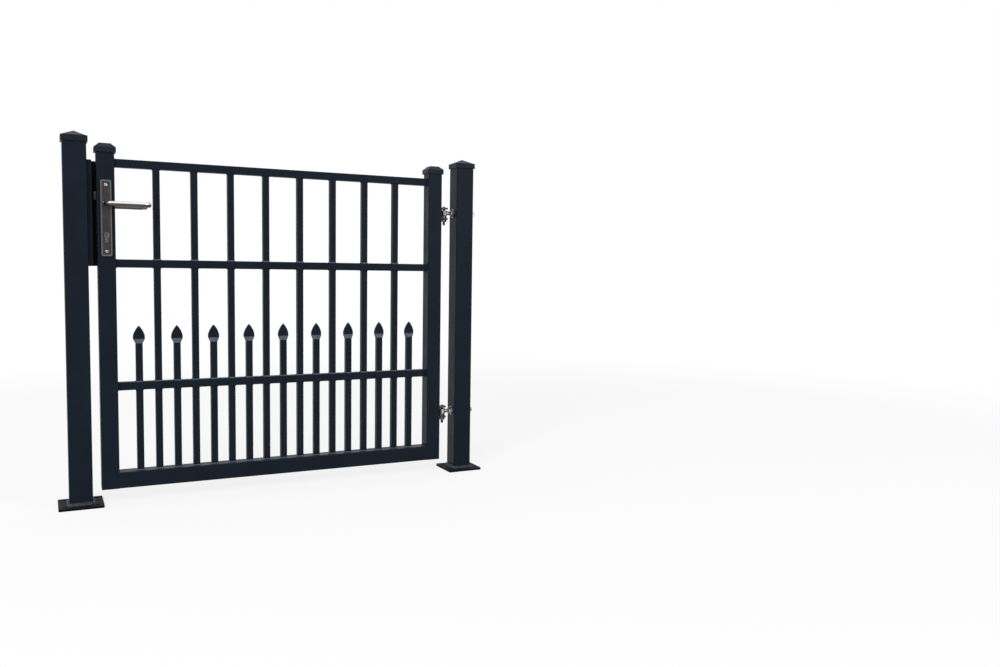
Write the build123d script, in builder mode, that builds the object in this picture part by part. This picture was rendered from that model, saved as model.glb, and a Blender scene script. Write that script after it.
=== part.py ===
from build123d import *
import os

os.makedirs("parts", exist_ok=True)

# Single swing gate between two square posts, in millimetres.
# The origin is the middle of the hinge post's foot, +X runs along the gate away
# from the leaf, +Y to the rear and +Z up. The leaf opens to the front, -Y.

# Opening, and the gaps that the leaf leaves at its two posts
clear_opening = 1195.0
hinge_gap = 54.5
latch_gap = 25.5

# Posts with their base plates and caps
post_size = 65.0
post_wall = 3.0
post_corner = 4.0
post_top = 1104.0
plate_size = 125.0
plate_thickness = 8.0
plate_corner = 4.0
anchor_spacing = 90.0
anchor_hole = 12.0
post_cap_overhang = 4.0
post_cap_skirt = 17.0
post_cap_edge = 3.0
post_cap_rise = 15.0
post_roof_point = 3.0
cap_lid = 3.0

# Leaf frame
leaf_bottom = 45.0
stile_size = 50.0
stile_wall = 2.5
stile_corner = 3.0
stile_drop = 28.0
stile_cap_overhang = 5.0
stile_cap_skirt = 15.0
stile_cap_edge = 1.0
stile_cap_rise = 12.0
stile_cap_flat = 32.0
bottom_rail_height = 50.0
rail_height = 25.0
rail_wall = 2.0
rail_corner = 2.0
top_rail_drop = 29.0
upper_rail_drop = 300.5
lower_rail_top = 371.0

# Bars, which run through square holes in the two middle rails
full_bar_count = 8
bar_size = 20.0
bar_wall = 1.5
bar_corner = 1.5
end_gap_extra = 7.1

# Spear tips, pressed flat from the ends of the short tubes
spear_tip = 544.3
spear_point_height = 32.3
spear_side_height = 9.5
spear_flare_height = 13.0
spear_width = 34.5
spear_thickness = 5.0
spear_bulge = 2.5
spear_side_round = 4.0
spear_tip_round = 2.5
spear_bevel = 1.5

# Hinges: an eyebolt through the post, a fork on the stile and an upright pin
upper_hinge_drop = 174.5
lower_hinge_height = 215.5
axis_to_post = 35.5
pin_diameter = 10.0
pin_above = 3.5
pin_below = 20.0
pin_bevel = 1.0
pin_seat = 0.1
running_clearance = 0.05
eye_diameter = 24.0
eye_height = 18.0
shank_diameter = 14.0
shank_hole = 15.0
shank_end = 18.0
shank_bevel = 1.5
thread_clearance = 0.1
washer_diameter = 30.0
washer_thickness = 2.5
shank_nut_flats = 22.0
shank_nut_height = 10.0
pin_nut_flats = 17.0
pin_nut_height = 8.0
bearing_gap = 0.3
fork_width = 28.0
fork_plate = 5.0
fork_ear = 6.0
fork_head_room = 4.0

# Lock: two cover plates, a profile cylinder, a case with its front plate
lever_drop = 166.0
cover_width = 30.0
cover_height = 226.0
cover_above_lever = 71.0
cover_thickness = 8.0
cover_corner = 5.0
cover_rim = 3.5
cover_recess = 1.2
cylinder_drop = 92.0
cylinder_diameter = 17.0
cylinder_tail = 10.0
cylinder_height = 33.0
cylinder_proud = 3.0
cylinder_seat = 0.15
keyway_width = 1.6
keyway_height = 8.0
keyway_depth = 5.0
front_plate_width = 22.0
front_plate_height = 190.0
front_plate_above_lever = 58.0
case_width = 18.0
case_depth = 38.0
case_margin = 6.0
bolt_above_lever = 25.0
bolt_tall = 24.0
bolt_thickness = 12.0
bolt_proud = 7.0
bolt_bevel = 6.0
bolt_length = 34.0
bolt_clearance = 0.3

# Lever pair on one square spindle
lever_radius = 8.0
lever_reach = 37.0
lever_length = 116.0
lever_return = 24.0
lever_bend = 14.0
lever_collar = 11.0
collar_height = 3.0
lever_clearance = 0.3
neck_stand_off = 2.0
spindle_size = 8.0
spindle_hole = 14.0

# Keep on the latch post, with the rubber that the closed leaf rests on
keep_drop = 64.0
keep_height = 315.0
keep_sheet = 4.0
keep_lip_gap = 5.0
keep_lip_front = 14.0
buffer_thickness = 5.7
buffer_overlap = 4.0
buffer_width = 16.0
buffer_top_inset = 12.0
buffer_bottom_inset = 5.0
rest_gap = 0.3

# Places worked out from the sizes above
latch_post_x = -(clear_opening + post_size)
hinge_post_face = -post_size / 2
latch_post_face = latch_post_x + post_size / 2
hinge_axis_x = hinge_post_face - axis_to_post
hinge_stile_face = hinge_post_face - hinge_gap
latch_stile_face = latch_post_face + latch_gap
hinge_stile_x = hinge_stile_face - stile_size / 2
latch_stile_x = latch_stile_face + stile_size / 2
rail_start = latch_stile_face + stile_size
rail_end = hinge_stile_face - stile_size
rail_length = rail_end - rail_start
leaf_middle = (rail_start + rail_end) / 2
bottom_rail_top = leaf_bottom + bottom_rail_height
stile_top = post_top - stile_drop
top_rail_top = stile_top - top_rail_drop
top_rail_bottom = top_rail_top - rail_height
upper_rail_top = top_rail_top - upper_rail_drop
rail_depth = bar_size + 2 * rail_wall
spear_count = full_bar_count + 1
bar_pitch = (rail_length - 2 * end_gap_extra) / spear_count
first_full_bar = leaf_middle - bar_pitch * (full_bar_count - 1) / 2
first_spear_bar = leaf_middle - bar_pitch * (spear_count - 1) / 2
full_bar_places = [first_full_bar + bar_pitch * i for i in range(full_bar_count)]
spear_bar_places = [first_spear_bar + bar_pitch * i for i in range(spear_count)]
spear_side_top = spear_tip - spear_point_height
spear_shoulder = spear_side_top - spear_side_height
spear_base = spear_shoulder - spear_flare_height
upper_hinge_height = post_top - upper_hinge_drop
fork_top = eye_height / 2 + bearing_gap + fork_head_room + fork_ear
fork_bottom = eye_height / 2 + bearing_gap + pin_nut_height + fork_ear
lever_height = stile_top - lever_drop
cover_middle = lever_height + cover_above_lever - cover_height / 2
front_plate_middle = lever_height + front_plate_above_lever - front_plate_height / 2
bolt_height = lever_height + bolt_above_lever
cylinder_z = lever_height - cylinder_drop
cover_face = stile_size / 2 + cover_thickness
bolt_nose = latch_stile_face - bolt_proud
keep_bottom = post_top - keep_drop - keep_height
keep_back = stile_size / 2 + rest_gap + buffer_thickness


def save(piece, name):
    """Label one finished piece and write it as a file of that name."""
    piece.part.label = name
    export_step(piece.part, f"parts/{name}.step")


def tube_outline(width, depth, wall, corner, place=(0, 0)):
    """Draw the section of a square tube in the sketch that is open."""
    inner_corner = max(corner - wall, corner / 4)
    with Locations(place):
        RectangleRounded(width, depth, corner)
        RectangleRounded(width - 2 * wall, depth - 2 * wall, inner_corner, mode=Mode.SUBTRACT)


# Posts
shank_heights = [lower_hinge_height, upper_hinge_height]

with BuildPart() as hinge_post:
    with BuildSketch(Plane.XY.offset(plate_thickness)):
        tube_outline(post_size, post_size, post_wall, post_corner)
    extrude(amount=post_top - plate_thickness)
    with BuildSketch(Plane.YZ):
        with Locations([(0, height) for height in shank_heights]):
            Circle(shank_hole / 2)
    extrude(amount=post_size, both=True, mode=Mode.SUBTRACT)
save(hinge_post, "hinge_post")

with BuildPart() as latch_post:
    with BuildSketch(Plane.XY.offset(plate_thickness)):
        tube_outline(post_size, post_size, post_wall, post_corner, (latch_post_x, 0))
    extrude(amount=post_top - plate_thickness)
save(latch_post, "latch_post")


def base_plate(x, name):
    """A square foot plate with four anchor holes under one post."""
    with BuildPart() as plate:
        with BuildSketch():
            with Locations((x, 0)):
                RectangleRounded(plate_size, plate_size, plate_corner)
                with GridLocations(anchor_spacing, anchor_spacing, 2, 2):
                    Circle(anchor_hole / 2, mode=Mode.SUBTRACT)
        extrude(amount=plate_thickness)
    save(plate, name)


base_plate(0, "hinge_post_base_plate")
base_plate(latch_post_x, "latch_post_base_plate")


def cap(x, tube, overhang, skirt, edge, rise, flat, seat, name):
    """A cap whose skirt wraps the tube's end, under a bevelled edge and a low roof."""
    outer = tube + 2 * overhang
    eave = seat + cap_lid
    with BuildPart() as lid:
        with BuildSketch(Plane.XY.offset(eave - skirt)):
            with Locations((x, 0)):
                RectangleRounded(outer, outer, overhang)
        extrude(amount=skirt)
        with BuildSketch(Plane.XY.offset(eave)):
            with Locations((x, 0)):
                Rectangle(outer - 2 * edge, outer - 2 * edge)
        with BuildSketch(Plane.XY.offset(eave + rise)):
            with Locations((x, 0)):
                Rectangle(flat, flat)
        loft()
        with BuildSketch(Plane.XY.offset(eave - skirt)):
            with Locations((x, 0)):
                Rectangle(tube, tube)
        extrude(amount=skirt - cap_lid, mode=Mode.SUBTRACT)
    save(lid, name)


for x, name in [(0, "hinge_post_cap"), (latch_post_x, "latch_post_cap")]:
    cap(x, post_size, post_cap_overhang, post_cap_skirt, post_cap_edge, post_cap_rise,
        post_roof_point, post_top, name)
for x, name in [(hinge_stile_x, "hinge_stile_cap"), (latch_stile_x, "latch_stile_cap")]:
    cap(x, stile_size, stile_cap_overhang, stile_cap_skirt, stile_cap_edge, stile_cap_rise,
        stile_cap_flat, stile_top, name)

# Stiles
with BuildPart() as hinge_stile:
    with BuildSketch(Plane.XY.offset(leaf_bottom)):
        tube_outline(stile_size, stile_size, stile_wall, stile_corner, (hinge_stile_x, 0))
    extrude(amount=stile_top - leaf_bottom)
save(hinge_stile, "hinge_stile")


def cylinder_outline(clearance):
    """Draw a profile cylinder's keyhole outline, widened by a clearance."""
    tail_width = cylinder_tail + 2 * clearance
    tail_middle = cylinder_diameter / 2 - cylinder_height + cylinder_tail / 2
    with Locations((latch_stile_x, cylinder_z)):
        Circle(cylinder_diameter / 2 + clearance)
        with Locations((0, tail_middle)):
            Circle(tail_width / 2)
        with Locations((0, tail_middle / 2)):
            Rectangle(tail_width, -tail_middle)


with BuildPart() as latch_stile:
    with BuildSketch(Plane.XY.offset(leaf_bottom)):
        tube_outline(stile_size, stile_size, stile_wall, stile_corner, (latch_stile_x, 0))
    extrude(amount=stile_top - leaf_bottom)
    with BuildSketch(Plane.YZ.offset(latch_stile_face)):
        with Locations((0, front_plate_middle)):
            Rectangle(front_plate_width, front_plate_height)
    extrude(amount=stile_wall, mode=Mode.SUBTRACT)
    with BuildSketch(Plane.XZ):
        with Locations((latch_stile_x, lever_height)):
            Circle(spindle_hole / 2)
        cylinder_outline(cylinder_seat)
    extrude(amount=stile_size, both=True, mode=Mode.SUBTRACT)
save(latch_stile, "latch_stile")

# Rails
with BuildPart() as bottom_rail:
    with BuildSketch(Plane.YZ.offset(rail_start)):
        tube_outline(stile_size, bottom_rail_height, stile_wall, stile_corner,
                     (0, leaf_bottom + bottom_rail_height / 2))
    extrude(amount=rail_length)
save(bottom_rail, "bottom_rail")

with BuildPart() as top_rail:
    with BuildSketch(Plane.YZ.offset(rail_start)):
        tube_outline(rail_depth, rail_height, rail_wall, rail_corner,
                     (0, top_rail_top - rail_height / 2))
    extrude(amount=rail_length)
save(top_rail, "top_rail")


def pierced_rail(top, crossings, name):
    """A hollow rail with a square hole punched through it for each bar."""
    middle = top - rail_height / 2
    with BuildPart() as rail:
        with BuildSketch(Plane.YZ.offset(rail_start)):
            tube_outline(rail_depth, rail_height, rail_wall, rail_corner, (0, middle))
        extrude(amount=rail_length)
        with BuildSketch(Plane.XY.offset(middle)):
            with Locations([(x, 0) for x in crossings]):
                Rectangle(bar_size, bar_size)
        extrude(amount=rail_height, both=True, mode=Mode.SUBTRACT)
    save(rail, name)


pierced_rail(upper_rail_top, full_bar_places, "upper_mid_rail")
pierced_rail(lower_rail_top, sorted(full_bar_places + spear_bar_places), "lower_mid_rail")

# Full bars, from the bottom rail to the top rail
for number, x in enumerate(full_bar_places, start=1):
    with BuildPart() as full_bar:
        with BuildSketch(Plane.XY.offset(bottom_rail_top)):
            tube_outline(bar_size, bar_size, bar_wall, bar_corner, (x, 0))
        extrude(amount=top_rail_bottom - bottom_rail_top)
    save(full_bar, f"full_bar_{number}")

# Short bars with a spear tip pressed out of the tube's own end
for number, x in enumerate(spear_bar_places, start=1):
    with BuildPart() as spear_bar:
        with BuildSketch(Plane.XY.offset(bottom_rail_top)):
            tube_outline(bar_size, bar_size, bar_wall, bar_corner, (x, 0))
        extrude(amount=spear_base - bottom_rail_top)
        with BuildSketch(Plane.XY.offset(spear_base)):
            with Locations((x, 0)):
                Rectangle(bar_size, bar_size)
        with BuildSketch(Plane.XY.offset(spear_shoulder)):
            with Locations((x, 0)):
                Rectangle(spear_width, spear_thickness)
        loft()
        with BuildSketch(Plane.XZ) as head:
            with BuildLine():
                Polyline(
                    (x - spear_width / 2, spear_side_top),
                    (x - spear_width / 2, spear_shoulder),
                    (x + spear_width / 2, spear_shoulder),
                    (x + spear_width / 2, spear_side_top),
                )
                SagittaArc((x + spear_width / 2, spear_side_top), (x, spear_tip), -spear_bulge)
                SagittaArc((x, spear_tip), (x - spear_width / 2, spear_side_top), -spear_bulge)
            make_face()
            fillet(head.vertices().group_by(Axis.Y)[-1], radius=spear_tip_round)
            fillet(head.vertices().group_by(Axis.Y)[1], radius=spear_side_round)
        extrude(amount=spear_thickness / 2, both=True)
        head_faces = spear_bar.faces().filter_by(Axis.Y).group_by(Axis.Z)[-1]
        chamfer(head_faces.edges().filter_by(Axis.X, reverse=True), length=spear_bevel)
    save(spear_bar, f"spear_bar_{number}")


# Hinges
def hinge(height, name):
    """An eyebolt in the post, the fork on the stile, and the pin that joins them."""
    with BuildPart() as eyebolt:
        with BuildSketch(Plane.YZ.offset(hinge_axis_x)):
            with Locations((0, height)):
                Circle(shank_diameter / 2)
        extrude(amount=post_size / 2 + shank_end - hinge_axis_x)
        chamfer(eyebolt.faces().sort_by(Axis.X)[-1].edges(), length=shank_bevel)
        with BuildSketch(Plane.XY.offset(height - eye_height / 2)):
            with Locations((hinge_axis_x, 0)):
                Circle(eye_diameter / 2)
        extrude(amount=eye_height)
        with BuildSketch(Plane.XY.offset(height - eye_height / 2)):
            with Locations((hinge_axis_x, 0)):
                Circle(pin_diameter / 2 + running_clearance)
        extrude(amount=eye_height, mode=Mode.SUBTRACT)
    save(eyebolt, f"{name}_eyebolt")

    with BuildPart() as nuts:
        for side in (-1, 1):
            with BuildSketch(Plane.YZ.offset(side * post_size / 2)):
                with Locations((0, height)):
                    Circle(washer_diameter / 2)
            extrude(amount=side * washer_thickness)
            with BuildSketch(Plane.YZ.offset(side * (post_size / 2 + washer_thickness))):
                with Locations((0, height)):
                    RegularPolygon(shank_nut_flats / 2, 6, major_radius=False)
            extrude(amount=side * shank_nut_height)
        with BuildSketch(Plane.YZ):
            with Locations((0, height)):
                Circle(shank_diameter / 2 + thread_clearance)
        extrude(amount=2 * post_size, both=True, mode=Mode.SUBTRACT)
    save(nuts, f"{name}_eyebolt_nuts")

    ear_length = hinge_axis_x - hinge_stile_face
    fork_height = fork_top + fork_bottom
    with BuildPart() as fork:
        with BuildSketch(Plane.XY.offset(height - fork_bottom)):
            with Locations((hinge_stile_face + ear_length / 2, 0)):
                Rectangle(ear_length, fork_width)
            with Locations((hinge_axis_x, 0)):
                Circle(fork_width / 2)
        extrude(amount=fork_height)
        with BuildSketch(Plane.XY.offset(height - fork_bottom + fork_ear)):
            with Locations((hinge_stile_face + fork_plate, 0)):
                Rectangle(2 * fork_width, 2 * fork_width, align=(Align.MIN, Align.CENTER))
        extrude(amount=fork_height - 2 * fork_ear, mode=Mode.SUBTRACT)
        with BuildSketch(Plane.XY.offset(height - fork_bottom)):
            with Locations((hinge_axis_x, 0)):
                Circle(pin_diameter / 2 + pin_seat)
        extrude(amount=fork_height, mode=Mode.SUBTRACT)
    save(fork, f"{name}_hinge_fork")

    pin_low = height - fork_bottom - pin_below
    pin_high = height + fork_top + pin_above
    with BuildPart() as pin:
        with BuildSketch(Plane.XY.offset(pin_low)):
            with Locations((hinge_axis_x, 0)):
                Circle(pin_diameter / 2)
        extrude(amount=pin_high - pin_low)
        chamfer(pin.faces().filter_by(Axis.Z).edges(), length=pin_bevel)
    save(pin, f"{name}_hinge_pin")

    with BuildPart() as pin_nuts:
        for nut_bottom in [height - fork_bottom + fork_ear, height - fork_bottom - pin_nut_height]:
            with BuildSketch(Plane.XY.offset(nut_bottom)):
                with Locations((hinge_axis_x, 0)):
                    RegularPolygon(pin_nut_flats / 2, 6, major_radius=False)
                    Circle(pin_diameter / 2 + pin_seat, mode=Mode.SUBTRACT)
            extrude(amount=pin_nut_height)
    save(pin_nuts, f"{name}_hinge_pin_nuts")


hinge(upper_hinge_height, "upper")
hinge(lower_hinge_height, "lower")

# Lock
with BuildPart() as lock_front_plate:
    with BuildSketch(Plane.YZ.offset(latch_stile_face)):
        with Locations((0, front_plate_middle)):
            Rectangle(front_plate_width, front_plate_height)
        with Locations((0, bolt_height)):
            Rectangle(bolt_thickness + 2 * bolt_clearance, bolt_tall + 2 * bolt_clearance,
                      mode=Mode.SUBTRACT)
    extrude(amount=stile_wall)
save(lock_front_plate, "lock_front_plate")

with BuildPart() as lock_case:
    with BuildSketch(Plane.YZ.offset(latch_stile_face + stile_wall)):
        with Locations((0, front_plate_middle)):
            Rectangle(case_width, front_plate_height - 2 * case_margin)
    extrude(amount=case_depth)
    with BuildSketch(Plane.YZ.offset(latch_stile_face)):
        with Locations((0, bolt_height)):
            Rectangle(bolt_thickness + 2 * bolt_clearance, bolt_tall + 2 * bolt_clearance)
    extrude(amount=stile_wall + case_depth, mode=Mode.SUBTRACT)
    with BuildSketch(Plane.XZ):
        with Locations((latch_stile_x, lever_height)):
            Circle(spindle_hole / 2)
        cylinder_outline(cylinder_seat)
    extrude(amount=case_width, both=True, mode=Mode.SUBTRACT)
save(lock_case, "lock_case")

with BuildPart() as latch_bolt:
    with BuildSketch(Plane.XY.offset(bolt_height - bolt_tall / 2)):
        with BuildLine():
            Polyline(
                (bolt_nose, -bolt_thickness / 2),
                (bolt_nose + bolt_length, -bolt_thickness / 2),
                (bolt_nose + bolt_length, bolt_thickness / 2),
                (bolt_nose + bolt_bevel, bolt_thickness / 2),
                close=True,
            )
        make_face()
    extrude(amount=bolt_tall)
save(latch_bolt, "latch_bolt")

with BuildPart() as lock_cylinder:
    with BuildSketch(Plane.XZ):
        cylinder_outline(0)
    extrude(amount=cover_face + cylinder_proud, both=True)
    for side in (-1, 1):
        with BuildSketch(Plane.XZ.offset(side * (cover_face + cylinder_proud))):
            with Locations((latch_stile_x, cylinder_z)):
                Rectangle(keyway_width, keyway_height)
        extrude(amount=-side * keyway_depth, mode=Mode.SUBTRACT)
save(lock_cylinder, "lock_cylinder")


def cover_plate(side, name):
    """A long plate with a raised rim, over the lock on one side of the stile."""
    with BuildPart() as cover:
        with BuildSketch(Plane.XZ.offset(side * stile_size / 2)):
            with Locations((latch_stile_x, cover_middle)):
                RectangleRounded(cover_width, cover_height, cover_corner)
            with Locations((latch_stile_x, lever_height)):
                Circle(lever_radius + lever_clearance, mode=Mode.SUBTRACT)
        extrude(amount=side * cover_thickness)
        with BuildSketch(Plane.XZ.offset(side * cover_face)):
            with Locations((latch_stile_x, cover_middle)):
                RectangleRounded(cover_width - 2 * cover_rim, cover_height - 2 * cover_rim,
                                 cover_corner - cover_rim / 2)
        extrude(amount=-side * cover_recess, mode=Mode.SUBTRACT)
        with BuildSketch(Plane.XZ):
            cylinder_outline(cylinder_seat)
        extrude(amount=side * 2 * cover_face, mode=Mode.SUBTRACT)
    save(cover, name)


cover_plate(1, "front_lock_cover")
cover_plate(-1, "rear_lock_cover")


def lever(side, name):
    """A round lever that leaves its cover plate, runs along it and turns back in."""
    start = -side * (stile_size / 2 + neck_stand_off)
    reach = -side * (cover_face + lever_reach)
    collar_start = -side * (cover_face - cover_recess + lever_clearance)
    with BuildPart() as handle:
        with BuildLine(Plane.XY.offset(lever_height)):
            route = FilletPolyline(
                (latch_stile_x, start),
                (latch_stile_x, reach),
                (latch_stile_x + lever_length, reach),
                (latch_stile_x + lever_length, reach + side * lever_return),
                radius=lever_bend,
            )
        with BuildSketch(Plane(route @ 0, z_dir=route % 0)):
            Circle(lever_radius)
        sweep()
        with BuildSketch(Plane.XZ.offset(-collar_start)):
            with Locations((latch_stile_x, lever_height)):
                Circle(lever_collar)
        extrude(amount=side * collar_height)
    save(handle, name)


lever(1, "front_lever")
lever(-1, "rear_lever")

with BuildPart() as lever_spindle:
    with BuildSketch(Plane.XZ):
        with Locations((latch_stile_x, lever_height)):
            Rectangle(spindle_size, spindle_size)
    extrude(amount=stile_size / 2 + neck_stand_off, both=True)
save(lever_spindle, "lever_spindle")

# Keep and its rubber
lip_end = bolt_nose - keep_lip_gap
stop_end = latch_stile_face + buffer_overlap

with BuildPart() as latch_keep:
    with BuildSketch(Plane.XY.offset(keep_bottom)):
        with Locations((latch_post_face, -keep_lip_front)):
            Rectangle(keep_sheet, keep_lip_front + keep_back + keep_sheet,
                      align=(Align.MIN, Align.MIN))
            Rectangle(lip_end - latch_post_face, keep_sheet, align=(Align.MIN, Align.MIN))
        with Locations((latch_post_face, keep_back)):
            Rectangle(stop_end - latch_post_face, keep_sheet, align=(Align.MIN, Align.MIN))
    extrude(amount=keep_height)
save(latch_keep, "latch_keep")

with BuildPart() as keep_buffer:
    with BuildSketch(Plane.XY.offset(keep_bottom + buffer_bottom_inset)):
        with Locations((stop_end, keep_back)):
            Rectangle(buffer_width, buffer_thickness, align=(Align.MAX, Align.MAX))
    extrude(amount=keep_height - buffer_bottom_inset - buffer_top_inset)
save(keep_buffer, "keep_buffer")
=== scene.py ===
import math
import random

import bmesh
import bpy
from bpy.props import FloatProperty, FloatVectorProperty, IntProperty, PointerProperty
from mathutils import Matrix, Vector


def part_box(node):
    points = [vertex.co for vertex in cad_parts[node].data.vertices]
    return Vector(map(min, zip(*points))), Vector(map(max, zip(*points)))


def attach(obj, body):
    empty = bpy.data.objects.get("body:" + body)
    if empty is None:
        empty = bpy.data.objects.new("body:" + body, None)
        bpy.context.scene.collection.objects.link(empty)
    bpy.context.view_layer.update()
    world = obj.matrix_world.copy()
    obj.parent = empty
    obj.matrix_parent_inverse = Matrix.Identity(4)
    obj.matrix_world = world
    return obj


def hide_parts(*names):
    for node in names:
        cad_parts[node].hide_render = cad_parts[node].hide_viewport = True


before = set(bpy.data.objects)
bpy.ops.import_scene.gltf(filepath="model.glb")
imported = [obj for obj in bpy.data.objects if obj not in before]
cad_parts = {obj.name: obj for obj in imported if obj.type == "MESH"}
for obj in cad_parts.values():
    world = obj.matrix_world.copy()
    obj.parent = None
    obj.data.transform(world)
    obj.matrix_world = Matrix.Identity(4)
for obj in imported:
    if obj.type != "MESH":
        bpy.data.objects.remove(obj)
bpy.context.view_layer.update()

bl_info = {
    "name": "Garden gate",
    "version": (1, 0, 0),
    "blender": (4, 5, 0),
    "location": "View3D > Sidebar > Gate",
    "description": "Finishes, welds, caps, hinges and lock fittings of a single garden gate",
    "category": "Object",
}

FULL_BARS = 8
SPEAR_BARS = 9
HINGES = ("upper", "lower")

UP = Vector((0, 0, 1))
FRONT = Vector((0, -1, 0))
ALONG = Vector((1, 0, 0))

WHITE = (1.0, 1.0, 1.0, 1.0)

# Points nearer to each other than this, in metres, are one point
SAME_POINT = 1e-6

# Stretch of the brushed lines that run along Z, and of those that run along X
UPRIGHT_LINES = (2600.0, 2600.0, 60.0)
LEVEL_LINES = (60.0, 2600.0, 2600.0)

# Seeds from which the ripple of the rail welds and of the foot welds is drawn
RAIL_WELD_SEED = 80
FOOT_WELD_SEED = 120


# Sizes and colours that a user may change


class GateFinish(bpy.types.PropertyGroup):
    """Colours of the finishes and of the painted sheen and shade, and the grain of the powder coat"""

    coat: FloatVectorProperty(
        name="Powder coat", description="Colour of the powder coat on tubes, bars and keep",
        default=(0.0050, 0.0092, 0.0165), size=3, subtype="COLOR", min=0, max=1)
    # Dust on upward faces, with the sky's sheen painted into the same lighter colour
    coat_dust_and_sheen: FloatVectorProperty(
        name="Dust", description="Colour of the dust on upward faces, with the sky's sheen painted into it",
        default=(0.060, 0.079, 0.108), size=3, subtype="COLOR", min=0, max=1)
    coat_sheen: FloatVectorProperty(
        name="Coat sheen", description="Colour that the sky gives to the slopes of spear heads and welds",
        default=(0.110, 0.131, 0.172), size=3, subtype="COLOR", min=0, max=1)
    cap: FloatVectorProperty(
        name="Caps", description="Colour of the moulded caps",
        default=(0.0058, 0.0108, 0.0185), size=3, subtype="COLOR", min=0, max=1)
    zinc: FloatVectorProperty(
        name="Zinc", description="Colour of the dull zinc on the base plates",
        default=(0.0110, 0.0125, 0.0170), size=3, subtype="COLOR", min=0, max=1)
    hinge_steel: FloatVectorProperty(
        name="Hinge steel", description="Colour of the bright plated eyebolts and their nuts, and of screws",
        default=(0.62, 0.61, 0.58), size=3, subtype="COLOR", min=0, max=1)
    cover: FloatVectorProperty(
        name="Cover plates", description="Colour of the dark stainless cover plates",
        default=(0.055, 0.052, 0.053), size=3, subtype="COLOR", min=0, max=1)
    lever: FloatVectorProperty(
        name="Levers", description="Colour of the polished levers",
        default=(0.96, 0.96, 0.99), size=3, subtype="COLOR", min=0, max=1)
    # Painted shade on the levers' undersides and, darker, at their roots
    lever_under_shade: FloatVectorProperty(
        name="Lever undersides", description="Colour of the shade painted on the levers' undersides and roots",
        default=(0.095, 0.080, 0.070), size=3, subtype="COLOR", min=0, max=1)
    plain_steel: FloatVectorProperty(
        name="Plain steel", description="Colour of the hinge pins, their nuts and the lock's front plate",
        default=(0.20, 0.20, 0.20), size=3, subtype="COLOR", min=0, max=1)
    bolt_steel: FloatVectorProperty(
        name="Bolt steel", description="Colour of the oiled latch bolt and the dull hinge forks",
        default=(0.065, 0.068, 0.072), size=3, subtype="COLOR", min=0, max=1)
    nickel: FloatVectorProperty(
        name="Nickel", description="Colour of the profile cylinder",
        default=(0.13, 0.125, 0.12), size=3, subtype="COLOR", min=0, max=1)
    rubber: FloatVectorProperty(
        name="Rubber", description="Colour of the buffer that the closed leaf rests on",
        default=(0.006, 0.006, 0.007), size=3, subtype="COLOR", min=0, max=1)
    orange_peel: FloatProperty(
        name="Coat grain", description="Width of one bump of the powder coat's orange peel",
        default=0.0016, min=0.0002, max=0.01, unit="LENGTH", precision=4)


class GateFittings(bpy.types.PropertyGroup):
    """Sizes of the rounded edges, welds, threads and screws"""

    eased_edge: FloatProperty(
        name="Eased edge", description="Radius on the sharp edges of sheet, plate and forged pieces",
        default=0.0007, min=0.0001, max=0.003, unit="LENGTH", precision=4)
    cap_edge: FloatProperty(
        name="Cap edge", description="Radius on the edges of the moulded caps",
        default=0.0013, min=0.0001, max=0.003, unit="LENGTH", precision=4)
    foot_weld: FloatProperty(
        name="Foot weld", description="Leg of the weld between a post and its base plate",
        default=0.0075, min=0.001, max=0.012, unit="LENGTH", precision=4)
    bar_weld: FloatProperty(
        name="Bar weld", description="Leg of the welds at the ends of the bars and where they cross a rail",
        default=0.0025, min=0.0005, max=0.005, unit="LENGTH", precision=4)
    rail_weld: FloatProperty(
        name="Rail weld", description="Leg of the welds at the ends of the rails",
        default=0.003, min=0.0005, max=0.006, unit="LENGTH", precision=4)
    cap_plug: FloatProperty(
        name="Cap plug", description="Diameter of the plug in the front of the latch post's cap",
        default=0.0058, min=0.002, max=0.01, unit="LENGTH", precision=4)
    bolt_pitch: FloatProperty(
        name="Eyebolt pitch", description="Pitch of the eyebolts' thread",
        default=0.002, min=0.0005, max=0.004, unit="LENGTH", precision=4)
    pin_pitch: FloatProperty(
        name="Pin pitch", description="Pitch of the hinge pins' thread",
        default=0.0015, min=0.0005, max=0.004, unit="LENGTH", precision=4)
    cover_screw: FloatProperty(
        name="Cover screw", description="Diameter of the screw heads on the cover plates",
        default=0.0094, min=0.003, max=0.014, unit="LENGTH", precision=4)
    cover_screw_inset: FloatProperty(
        name="Screw inset", description="From the end of a cover plate to its screw",
        default=0.0145, min=0.006, max=0.04, unit="LENGTH", precision=4)
    plate_screw: FloatProperty(
        name="Front plate screw", description="Diameter of the screws in the lock's front plate",
        default=0.008, min=0.003, max=0.012, unit="LENGTH", precision=4)
    keep_screw: FloatProperty(
        name="Keep screw", description="Diameter of the screw heads that hold the keep",
        default=0.011, min=0.004, max=0.02, unit="LENGTH", precision=4)
    keep_screw_count: IntProperty(
        name="Keep screws", description="Number of screws that hold the keep to its post",
        default=3, min=2, max=6)


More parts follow.
